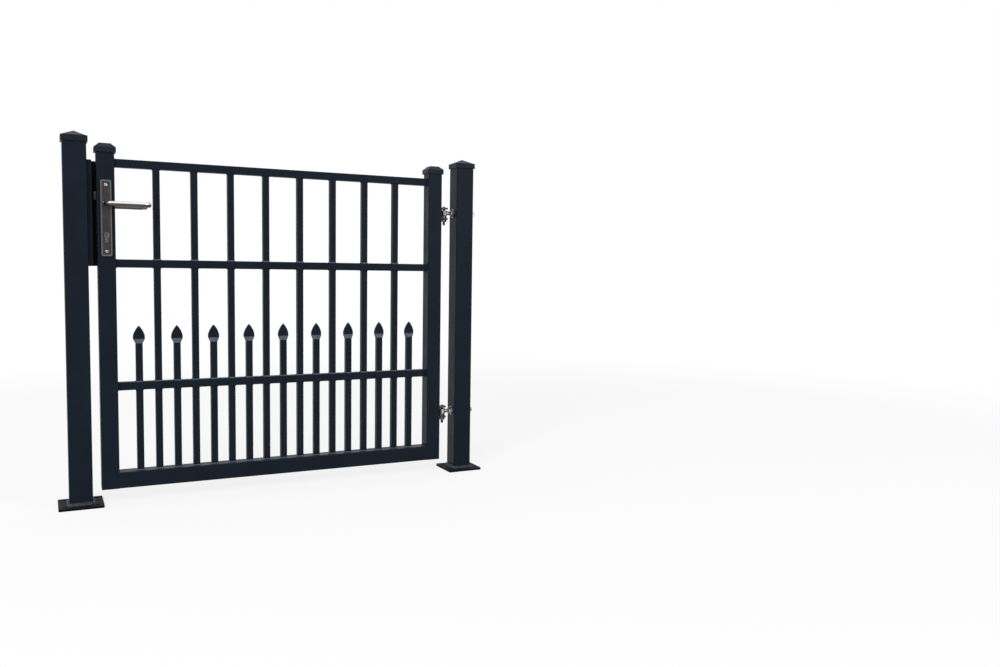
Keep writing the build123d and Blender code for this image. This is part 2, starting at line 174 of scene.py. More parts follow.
class GateStage(bpy.types.PropertyGroup):
    """Camera, lamps and floor"""

    camera_place: FloatVectorProperty(
        name="Camera", description="Where the camera stands",
        default=(-1.35103, -2.92945, 0.73968), size=3, subtype="TRANSLATION", unit="LENGTH", precision=4)
    camera_turn: FloatVectorProperty(
        name="Camera turn", description="Camera's tilt, roll and turn as Euler angles",
        default=(-0.07471, 0.01497, -0.47761), size=3, subtype="EULER", unit="ROTATION", precision=4)
    lens: FloatProperty(
        name="Lens", description="Focal length in millimetres on a 36 mm wide sensor",
        default=31.869, min=10, max=200, precision=3)
    sky: FloatProperty(
        name="Sky", description="Strength of the even light from all round",
        default=0.55, min=0, max=2)
    key_power: FloatProperty(
        name="Key power", description="Power of the soft lamp at the front left",
        default=260, min=0, max=2000, unit="POWER")
    fill_power: FloatProperty(
        name="Fill power", description="Power of the soft lamp at the front right",
        default=80, min=0, max=2000, unit="POWER")
    floor_size: FloatProperty(
        name="Floor", description="Width of the pale floor",
        default=60, min=5, max=200, unit="LENGTH")
    floor_white: FloatProperty(
        name="Floor white", description="Share of plain white near the gate, which keeps the shadow faint",
        default=0.8, min=0, max=1, subtype="FACTOR")


def finish():
    return bpy.context.scene.gate_finish


def fittings():
    return bpy.context.scene.gate_fittings


def stage():
    return bpy.context.scene.gate_stage


# Shapes


def outline(shape, profile):
    """Draw a closed outline of (radius, height) points on the plane of X and Z."""
    points = [shape.verts.new((radius, 0, height)) for radius, height in profile]
    return points + [shape.edges.new(pair) for pair in zip(points, points[1:] + points[:1])]


def turned(profile, segments):
    """A ring or solid turned round Z from a closed half outline of (radius, height) points."""
    shape = bmesh.new()
    bmesh.ops.spin(shape, geom=outline(shape, profile), cent=(0, 0, 0), axis=(0, 0, 1),
                   angle=2 * math.pi, steps=segments, use_merge=True)
    bmesh.ops.remove_doubles(shape, verts=shape.verts, dist=SAME_POINT)
    bmesh.ops.recalc_face_normals(shape, faces=shape.faces)
    return shape


def hexagon_radius(angle, across):
    """Distance from the middle of a hexagon to its side in a direction."""
    sixth = math.pi / 3
    return across / 2 / math.cos((angle + sixth / 2) % sixth - sixth / 2)


def to_hexagon(shape, radius, across, slope=0.0, low=None, high=None):
    """Pull a turned shape's points at a radius out to a hexagon, whose corners a slope bevels off."""
    for point in shape.verts:
        away = math.hypot(point.co.x, point.co.y)
        if abs(away - radius) > SAME_POINT:
            continue
        angle = math.atan2(point.co.y, point.co.x)
        reach = hexagon_radius(angle, across)
        drop = (reach - across / 2) * slope
        point.co.x = reach * math.cos(angle)
        point.co.y = reach * math.sin(angle)
        if slope:
            point.co.z = low + drop if point.co.z < (low + high) / 2 else high - drop


def rod(radius, start, end, bevel, segments=40):
    """A round bar along Z with bevelled ends."""
    return turned([(0, start), (radius - bevel, start), (radius, start + bevel),
                   (radius, end - bevel), (radius - bevel, end), (0, end)], segments)


def ring(inner, outer, start, end, bevel, segments=48):
    """A bored disc along Z with bevelled rims."""
    return turned([(inner + bevel, start), (outer - bevel, start), (outer, start + bevel),
                   (outer, end - bevel), (outer - bevel, end), (inner + bevel, end),
                   (inner, end - bevel), (inner, start + bevel)], segments)


def thread(core, depth, pitch, start, end):
    """The spiral ridge of a thread along Z."""
    steps = 24
    turns = int((end - start) / pitch) - 1
    root = core - depth / 2
    crest = core + depth
    shape = bmesh.new()
    ridge = outline(shape, [(root, start), (crest, start + pitch / 2), (root, start + pitch)])
    bmesh.ops.spin(shape, geom=ridge, cent=(0, 0, 0), axis=(0, 0, 1), dvec=(0, 0, pitch / steps),
                   angle=2 * math.pi * turns, steps=steps * turns)
    bmesh.ops.holes_fill(shape, edges=shape.edges, sides=3)
    bmesh.ops.recalc_face_normals(shape, faces=shape.faces)
    return shape


def nut(across, height, bore):
    """A hexagon nut from z = 0 up, its corners bevelled as by a lathe."""
    chamfer = 0.0008
    face = across / 2 * 0.97
    flat_start = 0.0003
    lathe_slope = math.tan(math.radians(30))
    lower = [(bore, chamfer), (bore + chamfer, 0), (face, 0), (across, chamfer)]
    upper = [(radius, height - level) for radius, level in reversed(lower)]
    shape = turned(lower + upper, 60)
    to_hexagon(shape, across, across, slope=lathe_slope, low=flat_start, high=height - flat_start)
    return shape


def socket_screw(diameter, height, key):
    """A domed screw head from z = 0 up, with a hexagon socket for a key of that size."""
    radius = diameter / 2
    socket = key * 0.7
    floor = height * 0.25
    dome = [(1.0, 0.0), (1.0, 0.3), (0.9, 0.68), (0.74, 0.9), (0.6, 1.0)]
    shape = turned([(0, 0)] + [(radius * out, height * rise) for out, rise in dome]
                   + [(socket, height), (socket, floor), (0, floor)], 48)
    to_hexagon(shape, socket, key)
    return shape


def bead(width, depth, corner, leg, seed, segments=72):
    """A weld bead round a rounded rectangle on z = 0, with the ripple of its runs."""
    tiny = 1e-9
    draw = random.Random(seed)
    swell = [draw.uniform(0.88, 1.12) for _ in range(segments)]
    section = [(-0.3, -0.2), (1.0, -0.1), (0.62, 0.62), (-0.1, 1.0)]
    shape = turned([(1, level) for level in range(len(section))], segments)
    for point in shape.verts:
        angle = math.atan2(point.co.y, point.co.x)
        out, rise = section[round(point.co.z)]
        size = leg * swell[round(angle / (2 * math.pi) * segments) % segments]
        # A ray from the middle meets the rectangle. That point goes back to between the corners' centres,
        # and from there out by the corner's radius and the bead's own reach.
        way = Vector((math.cos(angle), math.sin(angle)))
        reach = min((width / 2) / max(abs(way.x), tiny), (depth / 2) / max(abs(way.y), tiny))
        place = way * reach
        centre = Vector((max(-width / 2 + corner, min(width / 2 - corner, place.x)),
                         max(-depth / 2 + corner, min(depth / 2 - corner, place.y))))
        off = place - centre
        normal = off.normalized() if off.length > tiny else way
        flat = centre + normal * (corner + size * out)
        point.co = Vector((flat.x, flat.y, size * rise))
    bmesh.ops.recalc_face_normals(shape, faces=shape.faces)
    return shape


def moved(shape, place):
    bmesh.ops.transform(shape, matrix=place, verts=shape.verts)
    return shape


def facing(direction, place):
    """A matrix that turns +Z to a direction and sets it at a place."""
    return Matrix.Translation(place) @ Vector(direction).to_track_quat("Z", "Y").to_matrix().to_4x4()


def middle(node):
    """The middle of a CAD piece's box."""
    low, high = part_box(node)
    return (low + high) / 2


def joined(shapes):
    """One bmesh from several, which are used up."""
    whole = bmesh.new()
    for shape in shapes:
        mesh = bpy.data.meshes.new("part")
        shape.to_mesh(mesh)
        shape.free()
        whole.from_mesh(mesh)
        bpy.data.meshes.remove(mesh)
    return whole


def eased(node, radius, sharp=28, segments=2):
    """A copy of a CAD piece with its edges rounded where they are sharper than an angle."""
    flat = math.radians(0.5)
    shape = bmesh.new()
    shape.from_mesh(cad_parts[node].data)
    bmesh.ops.remove_doubles(shape, verts=shape.verts, dist=SAME_POINT)
    bmesh.ops.dissolve_limit(shape, angle_limit=flat, verts=shape.verts, edges=shape.edges)
    edges = [edge for edge in shape.edges
             if len(edge.link_faces) == 2 and edge.calc_face_angle() > math.radians(sharp)]
    bmesh.ops.bevel(shape, geom=edges, offset=radius, offset_type="OFFSET", affect="EDGES",
                    segments=segments, profile=0.5, material=-1, clamp_overlap=True)
    return shape


def weigh_normals(mesh, smooth):
    """Shade smoothly up to an angle, and let larger faces count more, so that they look flat."""
    around = [[] for _ in mesh.vertices]
    for face in mesh.polygons:
        for corner in face.vertices:
            around[corner].append(face)
    limit = math.cos(math.radians(smooth))
    normals = []
    for face in mesh.polygons:
        for corner in face.vertices:
            together = Vector()
            for other in around[corner]:
                if other.normal.dot(face.normal) > limit:
                    together += other.normal * other.area
            normals.append(together.normalized())
    mesh.normals_split_custom_set(normals)


def place_piece(shape, name, material, body, replaced=(), smooth=35):
    """Make a finished object of a bmesh, shaded smoothly up to an angle and riding on a body."""
    mesh = bpy.data.meshes.new(name)
    shape.to_mesh(mesh)
    shape.free()
    mesh.shade_smooth()
    copied = mesh.attributes.get("custom_normal")
    if copied is None:
        mesh.set_sharp_from_angle(angle=math.radians(smooth))
    else:
        # A copy of a CAD piece brings corner normals that don't fit its new edges
        mesh.attributes.remove(copied)
        weigh_normals(mesh, smooth)
    mesh.materials.append(bpy.data.materials[material])
    piece = bpy.data.objects.new(name, mesh)
    bpy.context.scene.collection.objects.link(piece)
    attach(piece, body)
    if replaced:
        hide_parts(*replaced)
    return piece


# Nodes


def set_inputs(tree, node, values):
    """Set a node's inputs, or link those whose value is a socket."""
    for socket, value in values.items():
        if isinstance(value, bpy.types.NodeSocket):
            tree.links.new(value, node.inputs[socket])
        else:
            node.inputs[socket].default_value = value
    return node


def add_node(tree, kind, values=None, **settings):
    """Add a node with its settings and inputs."""
    node = tree.nodes.new(kind)
    for field, value in settings.items():
        setattr(node, field, value)
    return set_inputs(tree, node, values or {})


def place_group(tree, name, values):
    """Put a shared group into a tree."""
    node = tree.nodes.new("ShaderNodeGroup")
    node.node_tree = bpy.data.node_groups[name]
    return set_inputs(tree, node, values)


def calculate(tree, operation, first, second=0.0):
    """The result of a Math node."""
    return add_node(tree, "ShaderNodeMath", {0: first, 1: second}, operation=operation).outputs[0]


def coordinate(tree, vector, axis):
    """A vector's X, Y or Z."""
    return add_node(tree, "ShaderNodeSeparateXYZ", {"Vector": vector}).outputs[axis]


def noise(tree, place, scale, detail, roughness=0.5):
    """A noise texture's strength from 0 to 1."""
    values = {"Vector": place, "Scale": scale, "Detail": detail, "Roughness": roughness}
    return add_node(tree, "ShaderNodeTexNoise", values).outputs["Fac"]


def rescale(tree, value, start, end, low=0.0, high=1.0):
    """Map a value from low..high to start..end."""
    values = {"Value": value, "From Min": low, "From Max": high, "To Min": start, "To Max": end}
    return add_node(tree, "ShaderNodeMapRange", values).outputs["Result"]


def ramp(tree, value, low, high):
    """Map a value from low..high to 0..1, smoothly."""
    return add_node(tree, "ShaderNodeMapRange", {"Value": value, "From Min": low, "From Max": high},
                    interpolation_type="SMOOTHSTEP").outputs["Result"]


def blend_colours(tree, mask, first, second):
    """Mix two colours, each a socket or a triple, by a mask."""
    colour_a, colour_b, colour_result = 6, 7, 2
    mix = add_node(tree, "ShaderNodeMix", {"Factor": mask}, data_type="RGBA")
    for socket, value in ((colour_a, first), (colour_b, second)):
        if not isinstance(value, bpy.types.NodeSocket):
            value = (*value, 1.0)
        set_inputs(tree, mix, {socket: value})
    return mix.outputs[colour_result]


def seen_directly(tree):
    """1 for the rays that show the surroundings: the camera's, a reflection's and those through glass."""
    path = add_node(tree, "ShaderNodeLightPath").outputs
    either = calculate(tree, "MAXIMUM", path["Is Camera Ray"], path["Is Glossy Ray"])
    return calculate(tree, "MAXIMUM", either, path["Is Transmission Ray"])


# Effects that the materials share


def new_group(name, inputs, outputs):
    """Make a shader node group with its sockets; gives its tree, its inputs' values and its result node."""
    group = bpy.data.node_groups.new(name, "ShaderNodeTree")
    for label, kind, default in inputs:
        socket = group.interface.new_socket(name=label, in_out="INPUT", socket_type=kind)
        if default is not None:
            socket.default_value = default
    for label, kind in outputs:
        group.interface.new_socket(name=label, in_out="OUTPUT", socket_type=kind)
    return group, group.nodes.new("NodeGroupInput").outputs, group.nodes.new("NodeGroupOutput")


def build_coat_grain():
    """Orange peel and slow change of tone, as on a powder coat or moulded plastic."""
    group, given, result = new_group(
        "Coat grain",
        [("Vector", "NodeSocketVector", None), ("Grain", "NodeSocketFloat", 0.0016)],
        [("Height", "NodeSocketFloat"), ("Tone", "NodeSocketFloat")])
    scale = calculate(group, "DIVIDE", 1.0, given["Grain"])
    peel = noise(group, given["Vector"], scale=scale, detail=2.0)
    slow = noise(group, given["Vector"], scale=9.0, detail=4.0, roughness=0.6)
    set_inputs(group, result, {"Height": peel, "Tone": ramp(group, slow, 0.3, 0.7)})


def build_edge_wear():
    """A mask of the outer edges, broken up so that it looks rubbed."""
    group, given, result = new_group(
        "Edge wear",
        [("Vector", "NodeSocketVector", None), ("Width", "NodeSocketFloat", 0.001)],
        [("Mask", "NodeSocketFloat")])
    around = add_node(group, "ShaderNodeBevel", {"Radius": given["Width"]}, samples=4)
    face = add_node(group, "ShaderNodeNewGeometry")
    turn = add_node(group, "ShaderNodeVectorMath", {0: around.outputs["Normal"], 1: face.outputs["Normal"]},
                    operation="DOT_PRODUCT")
    edge = ramp(group, turn.outputs["Value"], 0.995, 0.85)
    broken = ramp(group, noise(group, given["Vector"], scale=160.0, detail=3.0), 0.38, 0.62)
    set_inputs(group, result, {"Mask": calculate(group, "MULTIPLY", edge, broken)})


def build_facing_up():
    """A mask of the faces by how far they point up, from 0 at Low to 1 at High."""
    group, given, result = new_group(
        "Facing up",
        [("Low", "NodeSocketFloat", 0.35), ("High", "NodeSocketFloat", 0.95)],
        [("Mask", "NodeSocketFloat")])
    face = add_node(group, "ShaderNodeNewGeometry")
    upward = coordinate(group, face.outputs["Normal"], "Z")
    set_inputs(group, result, {"Mask": ramp(group, upward, given["Low"], given["High"])})


def facing_up(tree, low, high):
    """The mask of upward faces in a material or in another group."""
    return place_group(tree, "Facing up", {"Low": low, "High": high}).outputs["Mask"]


def build_dust_and_sheen():
    """A mask of upward faces, in patches, for the dust that lies there and the sky's sheen painted with it.
    """
    group, given, result = new_group(
        "Settled dust and sheen",
        [("Vector", "NodeSocketVector", None), ("Amount", "NodeSocketFloat", 0.5),
         ("Low", "NodeSocketFloat", 0.35), ("High", "NodeSocketFloat", 0.95)],
        [("Mask", "NodeSocketFloat")])
    upward = facing_up(group, given["Low"], given["High"])
    patches = noise(group, given["Vector"], scale=55.0, detail=5.0, roughness=0.65)
    spread = rescale(group, patches, 0.5, 1.0, low=0.25, high=0.75)
    both = calculate(group, "MULTIPLY", upward, spread)
    set_inputs(group, result, {"Mask": calculate(group, "MULTIPLY", both, given["Amount"])})


def build_grime_and_shade():
    """A mask of the corners and crevices, by how shut in they are, where grime stays and shade falls, to be
    painted darker.
    """
    group, given, result = new_group(
        "Crevice grime and shade",
        [("Vector", "NodeSocketVector", None), ("Reach", "NodeSocketFloat", 0.006)],
        [("Mask", "NodeSocketFloat")])
    shut = add_node(group, "ShaderNodeAmbientOcclusion", {"Distance": given["Reach"]}, samples=6)
    wobble = calculate(group, "MULTIPLY", noise(group, given["Vector"], scale=220.0, detail=3.0), 0.3)
    open_air = calculate(group, "ADD", shut.outputs["AO"], wobble)
    set_inputs(group, result, {"Mask": ramp(group, open_air, 0.95, 0.45)})


def build_brushed():
    """Fine lines along one direction, as left by a brush or a die."""
    group, given, result = new_group(
        "Brushed lines",
        [("Vector", "NodeSocketVector", None), ("Lines", "NodeSocketVector", UPRIGHT_LINES)],
        [("Height", "NodeSocketFloat"), ("Tone", "NodeSocketFloat")])
    drawn = add_node(group, "ShaderNodeVectorMath", {0: given["Vector"], 1: given["Lines"]},
                     operation="MULTIPLY")
    fine = noise(group, drawn.outputs["Vector"], scale=1.0, detail=3.0, roughness=0.6)
    cloudy = noise(group, given["Vector"], scale=35.0, detail=4.0)
    set_inputs(group, result, {"Height": fine, "Tone": ramp(group, cloudy, 0.3, 0.7)})


# Materials


def shade(colour, factor):
    return tuple(channel * factor for channel in colour)


def new_material(name, metallic=0.0, specular=0.5):
    """A material with its Principled shader and Object coordinates."""
    material = bpy.data.materials.new(name)
    material.use_nodes = True
    tree = material.node_tree
    shader = tree.nodes["Principled BSDF"]
    set_inputs(tree, shader, {"Metallic": metallic, "Specular IOR Level": specular})
    return tree, shader, tree.nodes.new("ShaderNodeTexCoord").outputs["Object"]


def finish_shader(tree, shader, base, rough_tone, roughness, height, depth):
    """Link a colour, a roughness that follows a tone between two values, and bumps of a depth."""
    bump = add_node(tree, "ShaderNodeBump", {"Height": height, "Distance": depth})
    set_inputs(tree, shader, {"Base Color": base, "Roughness": rescale(tree, rough_tone, *roughness),
                              "Normal": bump.outputs["Normal"]})


def coat_material(name, colour, grain, roughness, specular, dust, dust_and_sheen_colour, low=0.35, high=0.95, foot=None):
    """Powder coat or moulded plastic: orange peel, edges rubbed lighter, and dust with a painted sky sheen
    on upward faces.
    """
    rubbed_share = 0.35
    peel_depth = 0.00006
    tree, shader, place = new_material(name, specular=specular)
    peel = place_group(tree, "Coat grain", {"Vector": place, "Grain": grain}).outputs
    edge = place_group(tree, "Edge wear", {"Vector": place, "Width": 0.0012}).outputs["Mask"]
    dust_and_sheen_mask = place_group(tree, "Settled dust and sheen", {"Vector": place, "Amount": dust, "Low": low, "High": high})
    base = blend_colours(tree, peel["Tone"], shade(colour, 0.86), shade(colour, 1.14))
    base = blend_colours(tree, calculate(tree, "MULTIPLY", edge, rubbed_share), base, shade(colour, 2.6))
    # Upward faces lighter: dust, and a painted sheen of the sky
    base = blend_colours(tree, dust_and_sheen_mask.outputs["Mask"], base, dust_and_sheen_colour)
    if foot is not None:
        base = foot(tree, place, base)
    uneven = (roughness - 0.05, roughness + 0.07)
    finish_shader(tree, shader, base, peel["Tone"], uneven, peel["Height"], peel_depth)


def zinc_foot(tree, place, base):
    """The lowest few millimetres of a post, where splashes and zinc paint have left the coat grey."""
    ragged = 0.016
    grey_below = 0.019
    clean_above = 0.030
    wobble = calculate(tree, "MULTIPLY", noise(tree, place, scale=70.0, detail=5.0, roughness=0.7), ragged)
    level = calculate(tree, "ADD", coordinate(tree, place, "Z"), wobble)
    return blend_colours(tree, ramp(tree, level, clean_above, grey_below), base, shade(finish().zinc, 1.3))


def rim_tone_and_highlight(level):
    """A lighter tone for what stands further out than a level, front and rear, as a cover plate's rim does,
    and a painted highlight in the levers' near white on upward faces.
    """
    soft = 0.0001

    def tint(tree, place, base):
        depth = calculate(tree, "ABSOLUTE", coordinate(tree, place, "Y"))
        proud = ramp(tree, depth, level - soft, level + soft)
        rim = blend_colours(tree, proud, base, shade(finish().cover, 2.2))
        # Painted highlight: upward faces take the levers' near white
        return blend_colours(tree, facing_up(tree, 0.2, 0.6), rim, tuple(finish().lever))
    return tint


def painted_lever_shade(root):
    """Painted shade for a lever: darker on its underside, and darker still at its root, by the cover."""
    unshaded_from = root + 0.016
    dark_to = root - 0.004

    def tint(tree, place, base):
        # Painted shade at the root, fading out along the lever
        near = ramp(tree, coordinate(tree, place, "X"), unshaded_from, dark_to)
        # Painted shade on the downward faces
        under = blend_colours(tree, facing_up(tree, 0.25, -0.05), base, tuple(finish().lever_under_shade))
        return blend_colours(tree, near, under, shade(finish().lever_under_shade, 0.6))
    return tint


def metal_material(name, colour, lines, roughness, depth, stain=0.75, polish_and_glint=1.35, reach=0.005, tint=None):
    """Plated or stainless steel with drawn lines, cloudy tone, polished edges with a painted highlight, and
    grime with painted shade in its crevices.
    """
    # Near black for the crevices: grime, and painted shade
    grime = (0.012, 0.011, 0.010)
    # Lighter edges: polish, and a painted highlight where light would catch them
    polished = tuple(min(1.0, channel) for channel in shade(colour, polish_and_glint))
    tree, shader, place = new_material(name, metallic=1.0)
    drawn = place_group(tree, "Brushed lines", {"Vector": place, "Lines": lines}).outputs
    edge = place_group(tree, "Edge wear", {"Vector": place, "Width": 0.0012}).outputs["Mask"]
    crevice_grime_and_shade = place_group(tree, "Crevice grime and shade", {"Vector": place, "Reach": reach}).outputs["Mask"]
    base = blend_colours(tree, drawn["Tone"], shade(colour, stain), colour)
    if tint is not None:
        base = tint(tree, place, base)
    # Edges lighter: polish with a painted highlight
    base = blend_colours(tree, edge, base, polished)
    # Darker in crevices: grime, with painted shade
    base = blend_colours(tree, crevice_grime_and_shade, base, grime)
    finish_shader(tree, shader, base, drawn["Height"], roughness, drawn["Height"], depth)


def zinc_material():
    """Dull zinc with the crystals, white rust and grime of a base plate that has lain outdoors, and painted
    shade on its sides.
    """
    colour = tuple(finish().zinc)
    tree, shader, place = new_material("zinc_dull", specular=0.05)
    crystals = add_node(tree, "ShaderNodeTexVoronoi", {"Vector": place, "Scale": 190.0, "Randomness": 1.0})
    tint = add_node(tree, "ShaderNodeSeparateColor", {"Color": crystals.outputs["Color"]})
    rust = ramp(tree, noise(tree, place, scale=48.0, detail=6.0, roughness=0.7), 0.42, 0.66)
    grime = noise(tree, place, scale=120.0, detail=5.0, roughness=0.75)
    edge = place_group(tree, "Edge wear", {"Vector": place, "Width": 0.0015}).outputs["Mask"]
    base = blend_colours(tree, tint.outputs["Red"], shade(colour, 0.72), shade(colour, 1.2))
    base = blend_colours(tree, rust, base, shade(colour, 1.75))
    base = blend_colours(tree, ramp(tree, grime, 0.55, 0.7), base, shade(colour, 0.4))
    base = blend_colours(tree, edge, base, shade(colour, 2.0))
    # Painted shade: faces that don't point up are darker
    base = blend_colours(tree, facing_up(tree, 0.5, 0.1), base, shade(colour, 0.35))
    finish_shader(tree, shader, base, grime, (0.45, 0.8), grime, 0.0004)


def weld_material():
    """Weld metal under a brushed-on zinc paint, round the feet of the posts."""
    colour = tuple(finish().zinc)
    paint = (colour[0] * 3.4, colour[1] * 3.8, colour[2] * 4.2)
    tree, shader, place = new_material("zinc_weld", specular=0.25)
    cloudy = noise(tree, place, scale=90.0, detail=5.0, roughness=0.7)
    base = blend_colours(tree, ramp(tree, cloudy, 0.35, 0.65), shade(colour, 1.7), paint)
    finish_shader(tree, shader, base, cloudy, (0.35, 0.65), cloudy, 0.0005)


def rubber_material():
    """Black rubber with a fine grain, and a little bloom on its upward faces, with the sky's sheen painted
    into it.
    """
    colour = tuple(finish().rubber)
    tree, shader, place = new_material("rubber_black", specular=0.1)
    peel = place_group(tree, "Coat grain", {"Vector": place, "Grain": 0.0009}).outputs
    dust_and_sheen_mask = place_group(tree, "Settled dust and sheen", {"Vector": place, "Amount": 0.33}).outputs["Mask"]
    base = blend_colours(tree, peel["Tone"], colour, shade(colour, 2.2))
    # Upward faces lighter: bloom, and a painted sheen of the sky
    base = blend_colours(tree, dust_and_sheen_mask, base, tuple(finish().coat_dust_and_sheen))
    finish_shader(tree, shader, base, peel["Tone"], (0.68, 0.85), peel["Height"], 0.00008)


def dress(nodes, material):
    """Give CAD pieces a material."""
    for name in nodes:
        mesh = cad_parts[name].data
        mesh.materials.clear()
        mesh.materials.append(bpy.data.materials[material])


# Operators


class GATE_OT_finishes(bpy.types.Operator):
    """Make the gate's materials and the node groups that they share"""

    bl_idname = "gate.finishes"
    bl_label = "Finishes"

    def execute(self, context):
        build_coat_grain()
        build_edge_wear()
        build_facing_up()
        build_dust_and_sheen()
        build_grime_and_shade()
        build_brushed()
        self.coats()
        self.hinge_metals()
        self.lock_metals()
        zinc_material()
        weld_material()
        rubber_material()
        return {"FINISHED"}

    def coats(self):
        """Powder coat on tubes, on posts with grey feet and on forged bars, and moulded plastic; the forged
        bars' upward slopes carry a painted sheen.
        """
        looks = finish()
        coat = {"colour": tuple(looks.coat), "grain": looks.orange_peel, "roughness": 0.42, "specular": 0.09}
        dust_and_sheen_colour = tuple(looks.coat_dust_and_sheen)
        sheen = tuple(looks.coat_sheen)
        coat_material("coat_satin", **coat, dust=0.37, dust_and_sheen_colour=dust_and_sheen_colour)
        coat_material("coat_post", **coat, dust=0.37, dust_and_sheen_colour=dust_and_sheen_colour, foot=zinc_foot)
        # Forged bars and their welds: the lighter tone on upward slopes is all painted sky sheen, no dust
        coat_material("coat_forged", **coat, dust=1.0, dust_and_sheen_colour=sheen, low=0.12, high=0.42)
        coat_material("cap_moulded", tuple(looks.cap), grain=looks.orange_peel * 0.6, roughness=0.45,
                      specular=0.12, dust=0.30, dust_and_sheen_colour=dust_and_sheen_colour)

    def hinge_metals(self):
        """Bright zinc, plain plated steel and dull steel."""
        looks = finish()
        metal_material("zinc_plated", tuple(looks.hinge_steel), lines=(900.0, 900.0, 900.0),
                       roughness=(0.2, 0.38), depth=0.00004, stain=0.3, reach=0.007)
        metal_material("steel_plated", tuple(looks.plain_steel), lines=UPRIGHT_LINES,
                       roughness=(0.28, 0.42), depth=0.00003)
        metal_material("bolt_oiled", tuple(looks.bolt_steel), lines=UPRIGHT_LINES,
                       roughness=(0.28, 0.42), depth=0.00003, stain=0.4)

    def lock_metals(self):
        """Stainless steel for the cover plates and for the levers, and nickel."""
        looks = finish()
        half_rim = 0.0006
        rim_level = -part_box("front_lock_cover")[0].y - half_rim
        metal_material("cover_stainless", tuple(looks.cover), lines=UPRIGHT_LINES,
                       roughness=(0.3, 0.46), depth=0.00003, polish_and_glint=4.0,
                       tint=rim_tone_and_highlight(rim_level))
        metal_material("lever_stainless", tuple(looks.lever), lines=LEVEL_LINES,
                       roughness=(0.14, 0.26), depth=0.00003, stain=0.9, polish_and_glint=1.2,
                       tint=painted_lever_shade(middle("lever_spindle").x))
        metal_material("nickel_satin", tuple(looks.nickel), lines=(1200.0, 1200.0, 1200.0),
                       roughness=(0.22, 0.36), depth=0.00002, stain=0.6, polish_and_glint=4.0)


class GATE_OT_frame(bpy.types.Operator):
    """Coat the posts, stiles, rails and bars, and weld the bars and rails in"""

    bl_idname = "gate.frame"
    bl_label = "Frame and bars"

    def execute(self, context):
        stiles = ["hinge_stile", "latch_stile"]
        rails = ["bottom_rail", "lower_mid_rail", "upper_mid_rail", "top_rail"]
        full_bars = [f"full_bar_{number + 1}" for number in range(FULL_BARS)]
        spear_bars = [f"spear_bar_{number + 1}" for number in range(SPEAR_BARS)]
        dress(["hinge_post", "latch_post"], "coat_post")
        dress(stiles + rails + full_bars, "coat_satin")
        for name in spear_bars:
            forged = eased(name, fittings().eased_edge, sharp=33)
            place_piece(forged, f"{name}_forged", "coat_forged", "leaf", [name], smooth=25)
        self.bar_welds(full_bars, spear_bars)
        self.rail_welds()
        self.corner_fills()
        return {"FINISHED"}

    def bar_welds(self, full_bars, spear_bars):
        """Welds at the ends of the bars, and above and below each rail that they run through."""
        leg = fittings().bar_weld
        proud = 0.0002
        bar_low, bar_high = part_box(full_bars[0])
        width = bar_high.x - bar_low.x
        spots = []
        for name in full_bars + spear_bars:
            low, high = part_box(name)
            x = (low.x + high.x) / 2
            spots.append((x, UP, low.z, None))
            if name in full_bars:
                spots.append((x, -UP, high.z, high.y))
            for rail in ("lower_mid_rail", "upper_mid_rail"):
                rail_low, rail_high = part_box(rail)
                if rail_high.z < high.z:
                    spots.append((x, UP, rail_high.z, rail_high.y))
                    spots.append((x, -UP, rail_low.z, rail_high.y))
        beads = []
        for seed, (x, way, level, edge) in enumerate(spots):
            run = moved(bead(width, width, corner=0.0015, leg=leg, seed=seed, segments=48),
                        facing(way, (x, 0, level)))
            for point in run.verts:
                if edge is not None and abs(point.co.y) > edge:
                    # The rail is hardly deeper than the bar, so the weld runs down over its rounded edge
                    point.co.y = math.copysign(edge + proud, point.co.y)
                    point.co.z -= way.z * leg / 2
            beads.append(run)
        place_piece(joined(beads), "bar_welds", "coat_forged", "leaf", smooth=60)

    def rail_welds(self):
        """Welds round the ends of the mid rails and the top rail."""
        leg = fittings().rail_weld
        beads = []
        for number, name in enumerate(["lower_mid_rail", "upper_mid_rail", "top_rail"]):
            low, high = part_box(name)
            for side, x in ((1, low.x), (-1, high.x)):
                end = bead(high.z - low.z, high.y - low.y, corner=0.002, leg=leg,
                           seed=RAIL_WELD_SEED + number * 2 + side)
                beads.append(moved(end, facing(ALONG * side, (x, 0, (low.z + high.z) / 2))))
        place_piece(joined(beads), "rail_welds", "coat_satin", "leaf", smooth=60)

    def corner_fills(self):
        """Weld metal ground flush, where the bottom rail meets the rounded corners of the stiles."""
        low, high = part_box("bottom_rail")
        corner = 0.003
        rounding = corner * 0.98
        fills = []
        for x in (low.x - corner / 2, high.x + corner / 2):
            for side, y in ((-1, low.y), (1, high.y)):
                fill = bmesh.new()
                place = Matrix.Translation((x, y - side * corner / 2, (low.z + high.z) / 2))
                size = Matrix.Diagonal((corner, corner, high.z - low.z, 1))
                bmesh.ops.create_cube(fill, size=1.0, matrix=place @ size)
                outer = [edge for edge in fill.edges
                         if all(abs(point.co.y - y) < SAME_POINT for point in edge.verts)
                         and abs(edge.verts[0].co.z - edge.verts[1].co.z) < SAME_POINT]
                bmesh.ops.bevel(fill, geom=outer, offset=rounding, offset_type="OFFSET", affect="EDGES",
                                segments=5, profile=0.5, material=-1)
                fills.append(fill)
        place_piece(joined(fills), "bottom_corner_welds", "coat_satin", "leaf")


